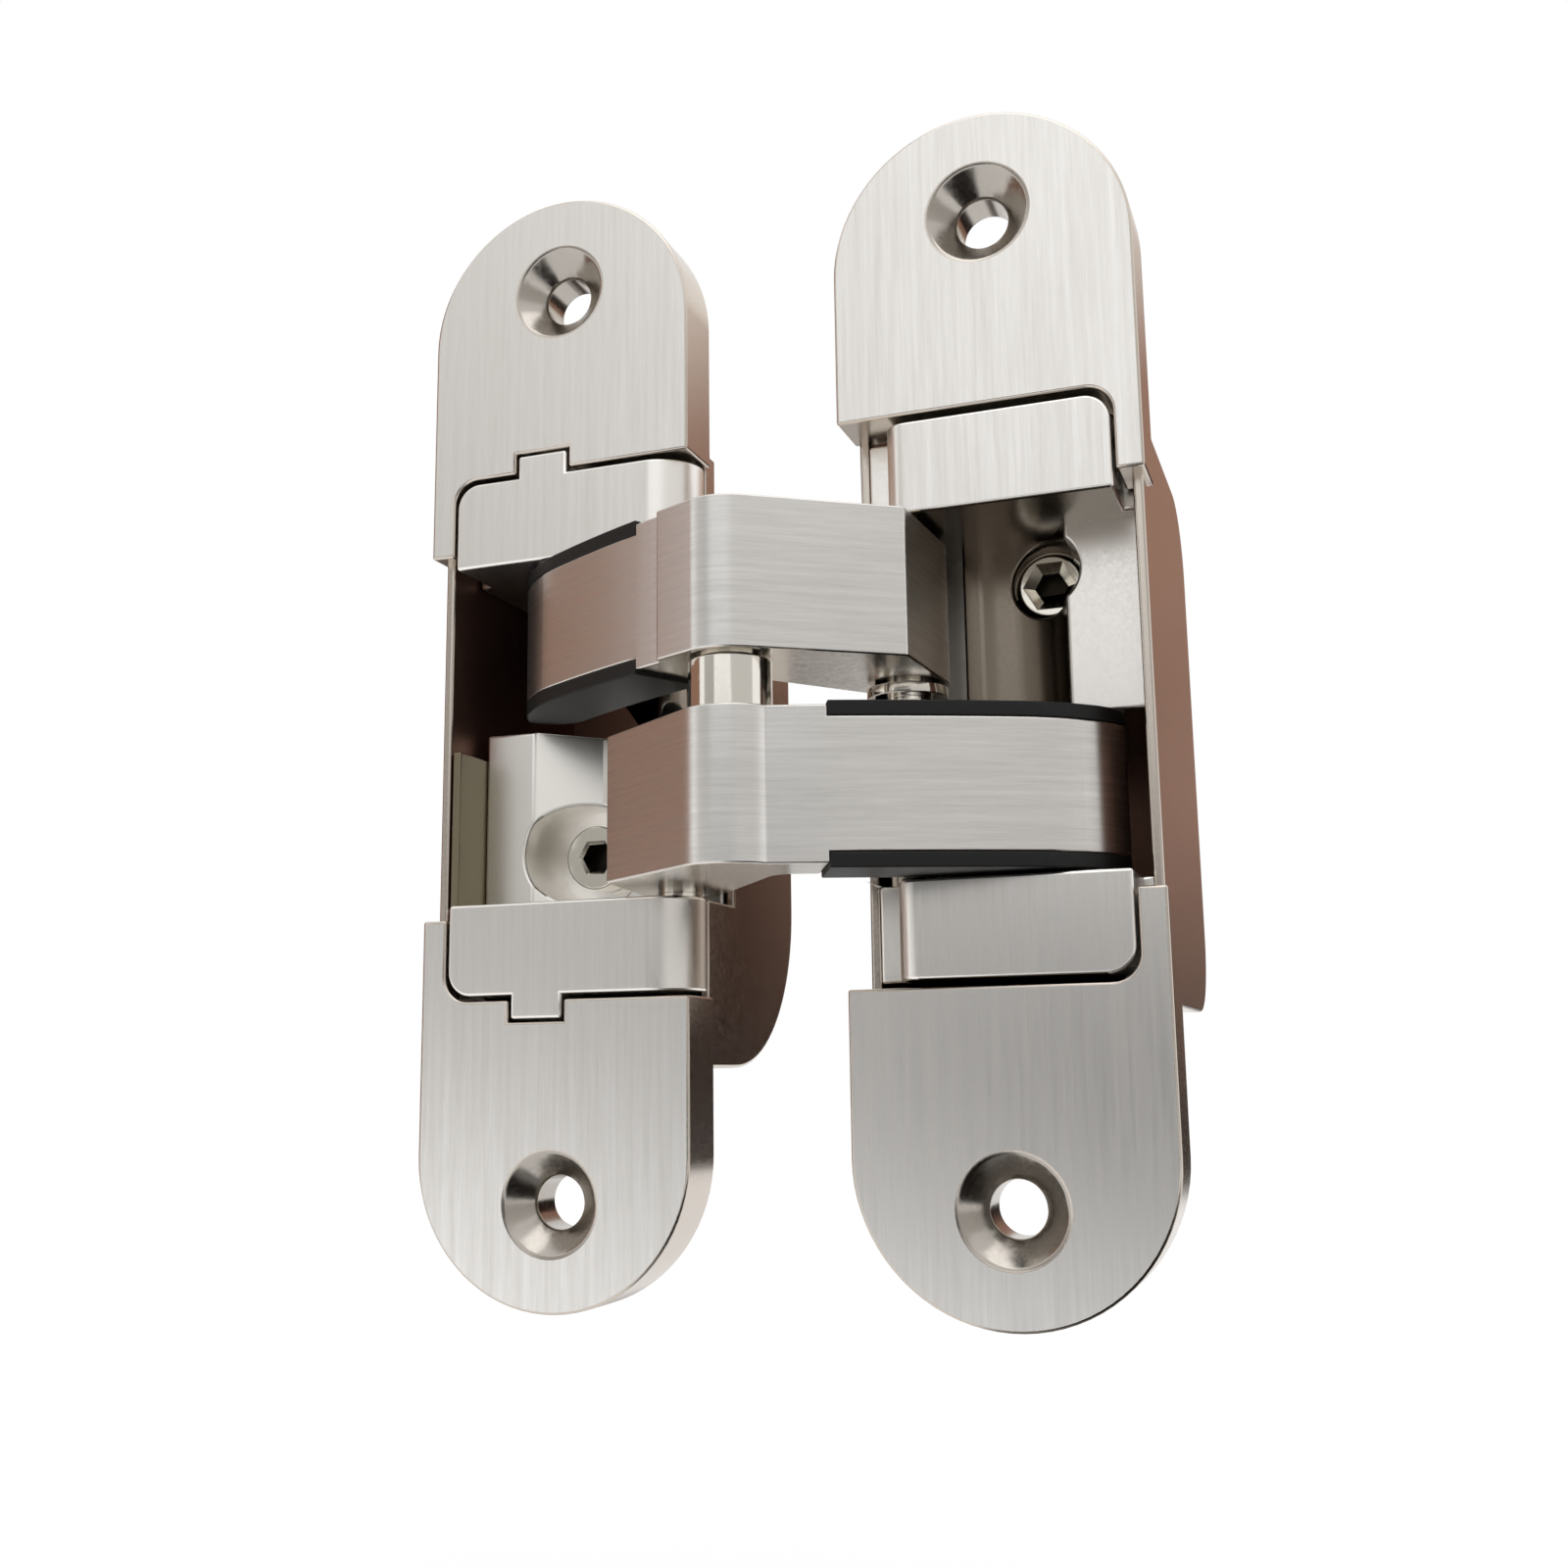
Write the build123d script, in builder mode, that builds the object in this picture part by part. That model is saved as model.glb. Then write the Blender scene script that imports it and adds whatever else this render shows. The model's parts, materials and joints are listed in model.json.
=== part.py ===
import os
from math import atan2, cos, degrees, hypot, pi, sin, sqrt

from build123d import *

os.makedirs("parts", exist_ok=True)

# Leaf plates: two round-ended plates per leaf, screwed to door and frame.
leaf_w = 30.0
leaf_l = 117.0
leaf_gap = 16.2
flange_t = 6.4
hole_pitch = 96.0
hole_r = 2.6
sink_r = 5.05
plate_gap = 0.5
ear_start = 1.5
ear_w = 2.7
ear_r = 2.6

# Boxes behind the plates that go into the wood.
box_side = 0.5
wall = 1.0
rim_depth = 2.2
left_skirt = 7.2
left_back_r = 18.0
left_pocket_r = 10.0
left_roof_r = 4.0
right_skirt = 1.9
right_back_r = 8.0

# Fits shared by all pieces.
clear = 0.3
running = 0.05
lift = 0.6
shift = 0.5

# Linkage in plan, measured from the mid-plane and from the front faces.
pivot_in = 12.4
pivot_depth = 8.4
cross_out = 8.8
lower_far_in = 30.5
upper_far_in = 26.0
far_depth = 5.0
closed_gap = 3.4

# Arms.
hub_r = 5.2
pivot_end_r = 4.3
far_r = 4.0
heel_r = 0.6
lower_heel_in = 14.35
lower_heel_depth = -4.0
upper_heel_in = 15.4
upper_heel_depth = -3.6
lower_neck = 0.0
upper_neck = 4.3
neck_step = 0.8
neck_fall = 0.2
bow = 0.8
arm_gap = 5.2
arm_h = 14.6
web_fillet = 2.6
crease_fillet = 0.5
strip_t = 1.45
strip_proud = 0.4
strip_start = 8.6

# Pins.
pivot_pin_r = 2.5
pivot_pin_hold = 6.3
cross_pin_r = 3.0
cross_collar_r = 3.95
cross_pin_cover = 1.2
guide_pin_r = 2.0
guide_pin_seat = 6.0
guide_depth = 1.8
collar_r = 4.1
collar_h = 1.1

# Carriers.
mid_face = 1.4
left_tab_gap = 0.5
right_tab_gap = 0.3
tab_h = 9.4
left_tip = 8.3
left_tip_r = 4.6
right_tip = 12.8
right_tip_r = 2.2
lip_depth = 5.2
tab_depth = 7.0
left_flat_depth = 7.8
left_edge_in = 29.6
left_edge_depth = 8.0
left_toe_in = 24.2
left_toe_depth = 13.7
right_flat_in = 28.7
right_flat_depth = 9.3
right_hollow_in = 19.2
right_hollow_r = 6.5
right_ridge_in = 17.2
right_ridge_depth = 13.7
right_slot_depth = 16.6
column_depth = 13.6
column_w = 6.6
tongue_in = 24.9
tongue_w = 5.7
tongue_h = 2.4
tongue_depth = 4.0
wedge_t = 0.9
wedge_front = 2.2
wedge_back = 27.0

# Screws.
left_screw_in = 25.0
left_screw_z = -12.0
left_screw_face = 13.6
left_head_r = 3.5
left_head_h = 3.5
left_shank_r = 2.0
left_shank_l = 15.0
left_bore_r = 5.7
left_key = 3.0
right_screw_in = 26.2
right_screw_z = 13.3
right_screw_face = 14.4
right_recess_r = 3.9
right_recess_up = 0.3
right_recess_floor = 15.6
right_screw_r = 3.2
right_screw_l = 12.0
right_key = 3.0
key_depth = 2.6

# Sizes that follow from the ones above.
mid_x = (leaf_w + leaf_gap) / 2
leaf_in = leaf_gap / 2
leaf_out = leaf_in + leaf_w
box_in = leaf_in + box_side
box_out = leaf_out - box_side
pocket_in = box_in + wall
pocket_out = box_out - wall
ear_edge = leaf_out - ear_w
body_in = pocket_in + clear
body_out = pocket_out - clear
tab_edge = ear_edge - clear
shoulder = flange_t + lift + clear
right_corner_r = right_back_r - wall
arm_low = arm_gap / 2
arm_top = arm_low + arm_h
strip_low = arm_low - strip_proud
strip_top = arm_top + strip_proud
cross_pin_half = arm_top - cross_pin_cover
pivot_pin_half = arm_top + pivot_pin_hold
left_tab_in = strip_top + left_tab_gap
left_tab_out = left_tab_in + tab_h
right_tab_in = strip_top + right_tab_gap
right_tab_out = right_tab_in + tab_h
plate_in = left_tab_out + plate_gap
ear_in = left_tab_in + ear_start
left_pocket_half = left_tab_out + clear
left_low = left_pocket_half + left_skirt
left_head = left_pocket_half + 2 * wall
left_body_top = left_tab_in + guide_depth + clear + wall
left_roof = left_body_top + clear + wall
left_pin_top = left_body_top - wall
left_step = tab_depth + lift + clear
right_pocket_half = right_tab_out + shift + clear
right_low = right_pocket_half + right_skirt
right_head = right_pocket_half + 2 * wall
right_body_top = pivot_pin_half + wall
right_roof = right_body_top + shift + clear + wall
right_step = tab_depth + clear
window_depth = pivot_depth + pivot_end_r + lift + clear
window_in = arm_low - collar_h - 2 * clear
left_block_out = body_out - wedge_t

# Closing motion: the far end of an arm follows this path in the leaf where it slides.
reach = hypot(pivot_in, pivot_depth + cross_out)
closed_rise = pivot_depth + closed_gap / 2
open_angle = atan2(-pivot_depth - cross_out, pivot_in)
closed_angle = atan2(-closed_rise, -sqrt(reach**2 - closed_rise**2))
arm_turn = open_angle - closed_angle
far_turn = pi - arm_turn
far_rise = far_depth + cross_out
guide_steps = 8


def at(across, depth):
    """Plan point from the distance across the mid-plane and the depth behind the faces."""
    return (mid_x + across, depth - flange_t)


def far_across(side):
    """Far end of an arm from the mid-plane: the lower arm goes to the right, the upper to the left."""
    return lower_far_in if side > 0 else upper_far_in


def far_length(side):
    """Length of an arm's bar from the hub to the middle of its far end."""
    return hypot(far_across(side), far_rise)


def guide_point(side, share):
    """Far end of the sliding arm in one leaf at a share of the closing turn."""
    swing = open_angle - arm_turn * share
    lean = atan2(far_rise, -far_across(side)) - far_turn * share
    across = -pivot_in + reach * cos(swing) + far_length(side) * cos(lean)
    depth = pivot_depth + reach * sin(swing) + far_length(side) * sin(lean)
    return at(-side * across, depth)


def guide_path(side):
    """Points on the whole path of the far end in one leaf."""
    return [guide_point(side, step / guide_steps) for step in range(guide_steps + 1)]


def far_back(side):
    """Greatest depth that the round far end reaches in one leaf."""
    return max(depth for across, depth in guide_path(side)) + flange_t + far_r


# Depths that let the far ends of the arms swing in.
left_back = far_back(-1)
left_pocket_back = left_back + lift + clear
left_box_back = left_pocket_back + wall
right_back = far_back(1)
right_pocket_back = right_back + clear
right_box_back = right_pocket_back + wall


def plate_face(side):
    """Front view of both end plates of a leaf, with the ears beside the carrier tabs."""
    centre = mid_x + side * (leaf_in + leaf_out) / 2
    with BuildSketch(Plane.XZ) as face:
        with Locations((centre, 0)):
            SlotOverall(leaf_l, leaf_w, rotation=90)
        with Locations((centre - side * ear_w / 2, 0)):
            Rectangle(leaf_w - ear_w, 2 * plate_in, mode=Mode.SUBTRACT)
        with Locations((centre, 0)):
            Rectangle(leaf_w, 2 * ear_in, mode=Mode.SUBTRACT)
        for level in (-plate_in, plate_in):
            corner = (mid_x + side * ear_edge, level)
            fillet(face.vertices().sort_by_distance(corner)[0], ear_r)
    return face.sketch


def screw_spot(side, level):
    """Front plane of a plate at a wood screw's hole, facing the screwdriver."""
    centre = (mid_x + side * (leaf_in + leaf_out) / 2, -flange_t, level)
    return Plane(centre, x_dir=(1, 0, 0), z_dir=(0, -1, 0))


def side_face(start, low, top, front, back, low_r, top_r):
    """Side view of a box, square in front and rounded at the two back corners."""
    with BuildSketch(Plane.YZ.offset(start)) as face:
        with Locations(((front + back) / 2 - flange_t, (top - low) / 2)):
            Rectangle(back - front, top + low)
        fillet(face.vertices().sort_by_distance((back - flange_t, -low))[0], low_r)
        fillet(face.vertices().sort_by_distance((back - flange_t, top))[0], top_r)
    return face.sketch


def slab_face(start, low, top, front, back):
    """Side view of a plain slab between two levels and two depths."""
    with BuildSketch(Plane.YZ.offset(start)) as face:
        with Locations(((front + back) / 2 - flange_t, (top + low) / 2)):
            Rectangle(back - front, top - low)
    return face.sketch


def plan_face(side, level, points):
    """Plan outline through points given as distance from the mid-plane and depth."""
    with BuildSketch(Plane.XY.offset(level)) as face:
        with BuildLine():
            Polyline(*[at(side * across, depth) for across, depth in points], close=True)
        make_face()
    return face.sketch


def tab_face(side, level, tip, tip_r, back):
    """Plan of a tab: flush front, rounded inner edge, lip over the box wall, body behind."""
    slant = tip_r * (1 - sqrt(0.5))
    with BuildSketch(Plane.XY.offset(level)) as face:
        with BuildLine():
            ThreePointArc(
                at(side * (tip + tip_r), 0),
                at(side * (tip + slant), slant),
                at(side * tip, tip_r),
            )
            Polyline(
                at(side * tip, tip_r),
                at(side * tip, lip_depth),
                at(side * body_in, lip_depth),
                at(side * body_in, back),
                at(side * body_out, back),
                at(side * body_out, shoulder),
                at(side * tab_edge, shoulder),
                at(side * tab_edge, 0),
                at(side * (tip + tip_r), 0),
            )
        make_face()
    return face.sketch


def groove_face(side, level):
    """Plan of the curved groove that guides the far end of the sliding arm."""
    path = guide_path(side)
    with BuildSketch(Plane.XY.offset(level)) as face:
        with BuildLine():
            Spline(*path)
        trace(line_width=2 * (guide_pin_r + clear))
        with Locations(path[0], path[-1]):
            Circle(guide_pin_r + clear)
    return face.sketch


def link_points(first, first_r, second, second_r):
    """Four tangent points of the straight sides that join two circles."""
    along = atan2(second[1] - first[1], second[0] - first[0])
    spread = hypot(second[0] - first[0], second[1] - first[1])
    lean = pi / 2 - atan2(first_r - second_r, spread)
    points = []
    for centre, radius, turn in (
        (first, first_r, lean),
        (second, second_r, lean),
        (second, second_r, -lean),
        (first, first_r, -lean),
    ):
        points.append((centre[0] + radius * cos(along + turn), centre[1] + radius * sin(along + turn)))
    return points


def bar_point(side, share, offset):
    """Point of the bowed bar at a share of its length, offset from its centre line to the front."""
    chord = atan2(far_rise, far_across(side))
    rise = 4 * bow * share * (1 - share) + offset
    across = far_length(side) * share * cos(chord) + rise * sin(chord)
    depth = -cross_out + far_length(side) * share * sin(chord) - rise * cos(chord)
    return at(side * across, depth)


def bar_face(side, level, start):
    """Plan of the bowed bar of an arm from a distance off the hub to its round far end."""
    front = [bar_point(side, share, far_r) for share in (0, 0.5, 1)]
    back = [bar_point(side, share, -far_r) for share in (1, 0.5, 0)]
    slope = side * degrees(atan2(far_rise, far_across(side)))
    with BuildSketch(Plane.XY.offset(level)) as face:
        with BuildLine():
            ThreePointArc(*front)
            Line(front[2], back[0])
            ThreePointArc(*back)
            Line(back[2], front[0])
        make_face()
        with Locations(bar_point(side, 1, 0)):
            Circle(far_r)
        if start > 0:
            with Locations(bar_point(side, 0, 0)):
                Rectangle(2 * start, 4 * far_r, rotation=slope, mode=Mode.SUBTRACT)
    return face.sketch


def arm_face(side, level, heel_in, heel_depth, neck):
    """Plan of a whole arm: hub, square-shouldered heel, pivot end, neck of the hub and bowed bar."""
    hub = at(0, -cross_out)
    pivot = at(-side * pivot_in, pivot_depth)
    heel = at(-side * heel_in, heel_depth)
    with BuildSketch(Plane.XY.offset(level)) as face:
        for outline in (
            link_points(hub, hub_r, pivot, pivot_end_r),
            link_points(hub, hub_r, heel, heel_r),
            link_points(heel, heel_r, pivot, pivot_end_r),
            (hub, heel, pivot),
        ):
            with BuildLine():
                Polyline(*outline, close=True)
            make_face()
        with Locations(heel):
            Circle(heel_r)
        with Locations(hub):
            Circle(hub_r)
        with Locations(pivot):
            Circle(pivot_end_r)
        add(bar_face(side, 0, 0))
        crease = sqrt(hub_r**2 - far_r**2)
        if neck > crease:
            crease = neck + neck_step
            with BuildLine():
                Polyline(
                    hub,
                    bar_point(side, 0, hub_r),
                    bar_point(side, neck / far_length(side), hub_r - neck_fall),
                    bar_point(side, crease / far_length(side), far_r - neck_fall),
                    close=True,
                )
            make_face()
        front_corner = bar_point(side, crease / far_length(side), far_r)
        fillet(face.vertices().sort_by_distance(front_corner)[0], crease_fillet)
        back_corner = at(0, -cross_out + hub_r)
        fillet(face.vertices().sort_by_distance(back_corner)[0], web_fillet)
    return face.sketch


with BuildPart() as left_housing:
    extrude(plate_face(-1), amount=flange_t)
    extrude(
        side_face(mid_x - box_out, left_low, left_roof, flange_t, left_box_back, left_back_r, left_roof_r),
        amount=box_out - box_in,
    )
    extrude(
        slab_face(mid_x - box_out, -left_low, left_head, flange_t, left_step + wall),
        amount=box_out - box_in,
    )
    with BuildSketch(Plane.XZ) as left_rim:
        with Locations((mid_x - box_out + wall / 2, 0)):
            Rectangle(wall, 2 * plate_in)
    extrude(amount=flange_t - rim_depth)
    extrude(
        side_face(
            mid_x - pocket_out,
            left_pocket_half,
            left_roof - wall,
            flange_t,
            left_pocket_back,
            left_pocket_r,
            left_roof_r - wall,
        ),
        amount=pocket_out - pocket_in,
        mode=Mode.SUBTRACT,
    )
    extrude(
        slab_face(mid_x - pocket_out, -left_pocket_half, left_pocket_half, flange_t, left_step),
        amount=pocket_out - pocket_in,
        mode=Mode.SUBTRACT,
    )
    with BuildSketch(Plane.YZ.offset(mid_x - pocket_in)) as left_window:
        with Locations(((window_depth - flange_t) / 2, -(window_in + left_tab_in) / 2)):
            Rectangle(window_depth - flange_t, left_tab_in - window_in)
    extrude(amount=wall, mode=Mode.SUBTRACT)
    with BuildSketch(Plane.XZ) as left_notches:
        with Locations((mid_x - tongue_in, 0)):
            Rectangle(tongue_w + 2 * clear, 2 * (left_tab_out + tongue_h + clear))
    extrude(amount=flange_t, mode=Mode.SUBTRACT)
    for level in (-hole_pitch / 2, hole_pitch / 2):
        with Locations(screw_spot(-1, level)):
            CounterSinkHole(hole_r, sink_r, depth=2 * flange_t, counter_sink_angle=90)
left_housing.part.label = "left_housing"
export_step(left_housing.part, "parts/left_housing.step")

with BuildPart() as right_housing:
    extrude(plate_face(1), amount=flange_t)
    extrude(
        side_face(mid_x + box_in, right_low, right_roof, flange_t, right_box_back, right_back_r, right_back_r),
        amount=box_out - box_in,
    )
    extrude(
        slab_face(mid_x + box_in, -right_low, right_head, flange_t, right_step + wall),
        amount=box_out - box_in,
    )
    with BuildSketch(Plane.XZ) as right_rim:
        with Locations((mid_x + box_out - wall / 2, 0)):
            Rectangle(wall, 2 * plate_in)
    extrude(amount=flange_t - rim_depth)
    extrude(
        side_face(
            mid_x + pocket_in,
            right_pocket_half,
            right_roof - wall,
            flange_t,
            right_pocket_back,
            right_corner_r,
            right_corner_r,
        ),
        amount=pocket_out - pocket_in,
        mode=Mode.SUBTRACT,
    )
    extrude(
        slab_face(mid_x + pocket_in, -right_pocket_half, right_pocket_half, flange_t, right_step),
        amount=pocket_out - pocket_in,
        mode=Mode.SUBTRACT,
    )
    with BuildSketch(Plane.YZ.offset(mid_x + box_in)) as right_window:
        with Locations(((window_depth - flange_t) / 2, (window_in + right_tab_in) / 2)):
            Rectangle(window_depth - flange_t, right_tab_in - window_in + 2 * shift)
    extrude(amount=wall, mode=Mode.SUBTRACT)
    for level in (-hole_pitch / 2, hole_pitch / 2):
        with Locations(screw_spot(1, level)):
            CounterSinkHole(hole_r, sink_r, depth=2 * flange_t, counter_sink_angle=90)
right_housing.part.label = "right_housing"
export_step(right_housing.part, "parts/right_housing.step")

left_block = (
    (left_block_out, left_flat_depth),
    (left_edge_in, left_edge_depth),
    (left_toe_in, left_toe_depth),
    (body_in, column_depth),
    (body_in, left_back),
    (left_block_out, left_back),
)
left_column = (
    (body_in, column_depth),
    (body_in + column_w, column_depth),
    (body_in + column_w, left_back),
    (body_in, left_back),
)

with BuildPart() as left_carrier:
    extrude(tab_face(-1, -left_tab_out, left_tip, left_tip_r, left_back), amount=tab_h)
    extrude(plan_face(-1, -left_tab_in, left_block), amount=left_tab_in + mid_face)
    extrude(plan_face(-1, mid_face, left_column), amount=left_tab_in - mid_face)
    extrude(tab_face(-1, left_tab_in, left_tip, left_tip_r, left_back), amount=tab_h)
    with BuildPart(mode=Mode.INTERSECT):
        extrude(
            side_face(
                mid_x - leaf_out, left_tab_out, left_body_top, 0, left_back, left_pocket_r, left_roof_r - wall
            ),
            amount=leaf_w,
        )
        extrude(slab_face(mid_x - leaf_out, 0, left_tab_out, 0, tab_depth), amount=leaf_w)
    for level in (-left_tab_out, left_tab_out):
        corner = (mid_x - tab_edge, -flange_t / 2, level)
        fillet(left_carrier.edges().filter_by(Axis.Y).sort_by_distance(corner)[0], ear_r)
    with BuildSketch(Plane.XZ.offset(flange_t)) as left_tongues:
        with Locations((mid_x - tongue_in, 0)):
            Rectangle(tongue_w, 2 * (left_tab_out + tongue_h))
            Rectangle(tongue_w, 2 * left_tab_out, mode=Mode.SUBTRACT)
    extrude(amount=-tongue_depth)
    extrude(groove_face(-1, left_tab_in), amount=guide_depth + clear, mode=Mode.SUBTRACT)
    with Locations((*at(-pivot_in, pivot_depth), (left_pin_top - pivot_pin_half) / 2)):
        Cylinder(pivot_pin_r, left_pin_top + pivot_pin_half, mode=Mode.SUBTRACT)
    with BuildSketch(Plane.XZ.offset(flange_t - left_screw_face - left_head_h)) as left_bore:
        with Locations((mid_x - left_screw_in, left_screw_z)):
            Circle(left_bore_r)
    extrude(amount=left_screw_face, mode=Mode.SUBTRACT)
    with BuildSketch(Plane.XZ.offset(flange_t - left_screw_face - left_head_h)) as left_shank_hole:
        with Locations((mid_x - left_screw_in, left_screw_z)):
            Circle(left_shank_r + clear)
    extrude(amount=-left_back, mode=Mode.SUBTRACT)
left_carrier.part.label = "left_carrier"
export_step(left_carrier.part, "parts/left_carrier.step")

right_column = (
    (body_in, column_depth),
    (body_in + column_w, column_depth),
    (body_in + column_w, right_back),
    (body_in, right_back),
)

with BuildPart() as right_carrier:
    extrude(tab_face(1, -right_tab_out, right_tip, right_tip_r, right_back), amount=tab_h)
    extrude(plan_face(1, -right_tab_in, right_column), amount=right_tab_in - mid_face)
    with BuildSketch(Plane.XY.offset(-mid_face)) as right_block:
        with BuildLine():
            Polyline(
                at(right_flat_in, right_flat_depth),
                at(body_out, right_flat_depth),
                at(body_out, right_back),
                at(body_in, right_back),
                at(body_in, right_slot_depth),
                at(right_ridge_in, right_slot_depth),
                at(right_ridge_in, right_ridge_depth),
                at(right_hollow_in, right_ridge_depth),
            )
            RadiusArc(
                at(right_hollow_in, right_ridge_depth),
                at(right_flat_in, right_flat_depth),
                right_hollow_r,
            )
        make_face()
    extrude(amount=mid_face + right_tab_in)
    extrude(tab_face(1, right_tab_in, right_tip, right_tip_r, right_back), amount=tab_h)
    with BuildPart(mode=Mode.INTERSECT):
        extrude(
            side_face(
                mid_x + leaf_in, right_tab_out, right_body_top, 0, right_back, right_corner_r, right_corner_r
            ),
            amount=leaf_w,
        )
        extrude(slab_face(mid_x + leaf_in, 0, right_tab_out, 0, tab_depth), amount=leaf_w)
    for level in (-right_tab_out, right_tab_out):
        corner = (mid_x + tab_edge, -flange_t / 2, level)
        fillet(right_carrier.edges().filter_by(Axis.Y).sort_by_distance(corner)[0], ear_r)
    extrude(groove_face(1, -right_tab_in), amount=-guide_depth - clear, mode=Mode.SUBTRACT)
    with Locations(at(pivot_in, pivot_depth)):
        Cylinder(pivot_pin_r, 2 * pivot_pin_half, mode=Mode.SUBTRACT)
    with BuildSketch(Plane.XZ.offset(flange_t - right_screw_face - right_screw_l)) as right_bore:
        with Locations((mid_x + right_screw_in, right_screw_z)):
            Circle(right_screw_r + clear)
    extrude(amount=right_screw_face + right_screw_l, mode=Mode.SUBTRACT)
    with BuildSketch(Plane.XZ.offset(flange_t - right_recess_floor)) as right_recess:
        with Locations((mid_x + right_screw_in, right_screw_z + right_recess_up)):
            Circle(right_recess_r)
    extrude(amount=right_recess_floor, mode=Mode.SUBTRACT)
right_carrier.part.label = "right_carrier"
export_step(right_carrier.part, "parts/right_carrier.step")

with BuildPart() as lower_arm:
    extrude(arm_face(1, -arm_top, lower_heel_in, lower_heel_depth, lower_neck), amount=arm_h)
    extrude(bar_face(1, -arm_top, strip_start), amount=strip_t - strip_proud, mode=Mode.SUBTRACT)
    extrude(bar_face(1, -arm_low, strip_start), amount=strip_proud - strip_t, mode=Mode.SUBTRACT)
    with Locations((*at(-pivot_in, pivot_depth), -(arm_low + arm_top) / 2)):
        Cylinder(pivot_pin_r + running, 2 * arm_h, mode=Mode.SUBTRACT)
    with Locations((*at(0, -cross_out), -cross_pin_half / 2)):
        Cylinder(cross_pin_r, cross_pin_half, mode=Mode.SUBTRACT)
    with Locations((*at(lower_far_in, far_depth), -arm_top + guide_pin_seat / 2)):
        Cylinder(guide_pin_r, guide_pin_seat, mode=Mode.SUBTRACT)
lower_arm.part.label = "lower_arm"
export_step(lower_arm.part, "parts/lower_arm.step")

with BuildPart() as upper_arm:
    extrude(arm_face(-1, arm_low, upper_heel_in, upper_heel_depth, upper_neck), amount=arm_h)
    extrude(bar_face(-1, arm_top, strip_start), amount=strip_proud - strip_t, mode=Mode.SUBTRACT)
    extrude(bar_face(-1, arm_low, strip_start), amount=strip_t - strip_proud, mode=Mode.SUBTRACT)
    with Locations((*at(pivot_in, pivot_depth), (arm_low + arm_top) / 2)):
        Cylinder(pivot_pin_r + running, 2 * arm_h, mode=Mode.SUBTRACT)
    with Locations((*at(0, -cross_out), cross_pin_half / 2 + clear / 2)):
        Cylinder(cross_pin_r + running, cross_pin_half + clear, mode=Mode.SUBTRACT)
    with Locations((*at(-upper_far_in, far_depth), arm_top - guide_pin_seat / 2)):
        Cylinder(guide_pin_r, guide_pin_seat, mode=Mode.SUBTRACT)
upper_arm.part.label = "upper_arm"
export_step(upper_arm.part, "parts/upper_arm.step")

with BuildPart() as lower_arm_inner_strip:
    extrude(bar_face(1, -strip_low, strip_start), amount=-strip_t)
lower_arm_inner_strip.part.label = "lower_arm_inner_strip"
export_step(lower_arm_inner_strip.part, "parts/lower_arm_inner_strip.step")

with BuildPart() as lower_arm_outer_strip:
    extrude(bar_face(1, -strip_top, strip_start), amount=strip_t)
    with Locations((*at(lower_far_in, far_depth), -strip_top)):
        Cylinder(guide_pin_r, 4 * strip_t, mode=Mode.SUBTRACT)
lower_arm_outer_strip.part.label = "lower_arm_outer_strip"
export_step(lower_arm_outer_strip.part, "parts/lower_arm_outer_strip.step")

with BuildPart() as upper_arm_inner_strip:
    extrude(bar_face(-1, strip_low, strip_start), amount=strip_t)
upper_arm_inner_strip.part.label = "upper_arm_inner_strip"
export_step(upper_arm_inner_strip.part, "parts/upper_arm_inner_strip.step")

with BuildPart() as upper_arm_outer_strip:
    extrude(bar_face(-1, strip_top, strip_start), amount=-strip_t)
    with Locations((*at(-upper_far_in, far_depth), strip_top)):
        Cylinder(guide_pin_r, 4 * strip_t, mode=Mode.SUBTRACT)
upper_arm_outer_strip.part.label = "upper_arm_outer_strip"
export_step(upper_arm_outer_strip.part, "parts/upper_arm_outer_strip.step")

with BuildPart() as center_pin:
    with Locations(at(0, -cross_out)):
        Cylinder(cross_pin_r, 2 * cross_pin_half)
    with Locations((*at(0, -cross_out), -clear / 2)):
        Cylinder(cross_collar_r, arm_gap - clear)
center_pin.part.label = "center_pin"
export_step(center_pin.part, "parts/center_pin.step")

with BuildPart() as left_pivot_pin:
    with Locations((*at(-pivot_in, pivot_depth), (left_pin_top - pivot_pin_half) / 2)):
        Cylinder(pivot_pin_r, left_pin_top + pivot_pin_half)
left_pivot_pin.part.label = "left_pivot_pin"
export_step(left_pivot_pin.part, "parts/left_pivot_pin.step")

with BuildPart() as right_pivot_pin:
    with Locations(at(pivot_in, pivot_depth)):
        Cylinder(pivot_pin_r, 2 * pivot_pin_half)
right_pivot_pin.part.label = "right_pivot_pin"
export_step(right_pivot_pin.part, "parts/right_pivot_pin.step")

with BuildPart() as left_pivot_collar:
    with Locations((*at(-pivot_in, pivot_depth), -arm_low + clear + collar_h / 2)):
        Cylinder(collar_r, collar_h)
        Cylinder(pivot_pin_r, collar_h, mode=Mode.SUBTRACT)
left_pivot_collar.part.label = "left_pivot_collar"
export_step(left_pivot_collar.part, "parts/left_pivot_collar.step")

with BuildPart() as right_pivot_collar:
    with Locations((*at(pivot_in, pivot_depth), arm_low - clear - collar_h / 2)):
        Cylinder(collar_r, collar_h)
        Cylinder(pivot_pin_r, collar_h, mode=Mode.SUBTRACT)
right_pivot_collar.part.label = "right_pivot_collar"
export_step(right_pivot_collar.part, "parts/right_pivot_collar.step")

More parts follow.
